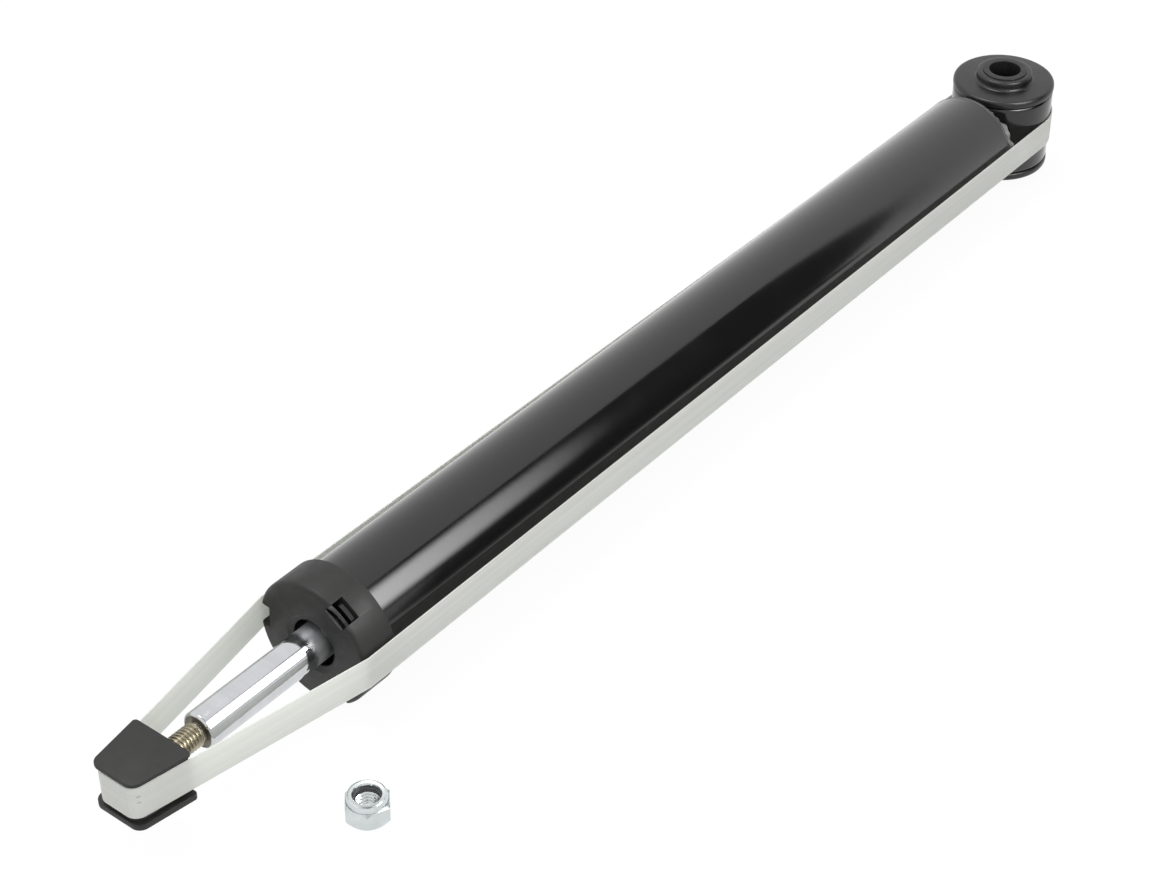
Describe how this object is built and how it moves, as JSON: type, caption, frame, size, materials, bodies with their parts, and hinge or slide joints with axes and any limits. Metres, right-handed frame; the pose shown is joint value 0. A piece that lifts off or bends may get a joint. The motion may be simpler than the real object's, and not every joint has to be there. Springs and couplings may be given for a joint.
{
  "type": "gas shock absorber",
  "caption": "Slim gas-pressurised shock absorber with a rubber-bushed eye, chromed rod with threaded stud, bump cap, transit strap and loose locking nut",
  "frame": {"origin": "centre of the eye's bolt bore", "axes": "+X along the tube from the eye to the rod, +Z along the bolt bore, +Y to the side where the nut lies"},
  "size_m": [0.4978, 0.0759, 0.0434],
  "materials": {
    "gloss_black_paint": "gloss black enamel",
    "black_rubber": "satin moulded rubber",
    "dark_sleeve_steel": "dark phosphated steel",
    "matte_black_plastic": "matte moulded plastic",
    "strap_plastic": "off-white polypropylene band",
    "hard_chrome": "ground and polished hard chrome",
    "bare_steel": "machined steel",
    "sintered_iron": "sintered iron",
    "filled_ptfe": "bronze-filled bearing plastic",
    "bare_aluminium": "machined aluminium",
    "bearing_bronze": "bearing bronze",
    "zinc_plate": "bright zinc plate",
    "nylon": "dark nylon locking ring"
  },
  "bodies": {
    "tube": {"body_tube": "gloss_black_paint", "base_cap": "gloss_black_paint", "eye_ring": "gloss_black_paint", "eye_weld": "gloss_black_paint", "bush_rubber": "black_rubber", "rod_guide": "bare_aluminium", "guide_oring": "black_rubber", "guide_bush": "bearing_bronze", "rod_seal": "black_rubber", "seal_spring": "bare_steel", "retaining_ring": "bare_steel", "bump_cap": "matte_black_plastic", "transit_strap": "strap_plastic"},
    "rod": {"piston_rod": "hard_chrome", "rebound_stop": "bare_steel", "rebound_bumper": "black_rubber", "compression_washer": "bare_steel", "compression_shims": "bare_steel", "piston": "sintered_iron", "piston_band": "filled_ptfe", "rebound_shims": "bare_steel", "rebound_washer": "bare_steel", "piston_nut": "bare_steel", "transit_shoe": "matte_black_plastic"},
    "gas_piston": {"gas_piston": "bare_aluminium", "gas_piston_oring": "black_rubber", "gas_piston_band": "filled_ptfe"},
    "eye_sleeve": {"bush_sleeve": "dark_sleeve_steel"},
    "nut": {"lock_nut": "zinc_plate", "nut_insert": "nylon"}
  },
  "joints": [
    {"name": "rod_slide", "type": "slide", "parent": "tube", "child": "rod", "axis": [1, 0, 0], "range_m": [-0.025, 0.194], "deforming": ["transit_strap"]},
    {"name": "gas_piston_slide", "type": "slide", "parent": "tube", "child": "gas_piston", "axis": [1, 0, 0], "range_m": [-0.004, 0.026]},
    {"name": "sleeve_twist", "type": "hinge", "parent": "tube", "child": "eye_sleeve", "pos_m": [0, 0, 0], "axis": [0, 0, 1], "range_deg": [-20, 20]},
    {"name": "nut_lift", "type": "slide", "parent": "tube", "child": "nut", "axis": [0, 0, 1], "range_m": [0, 0.03]}
  ],
  "couplings": [
    {"joint": "gas_piston_slide", "follows": "rod_slide", "ratio": 0.1261}
  ]
}
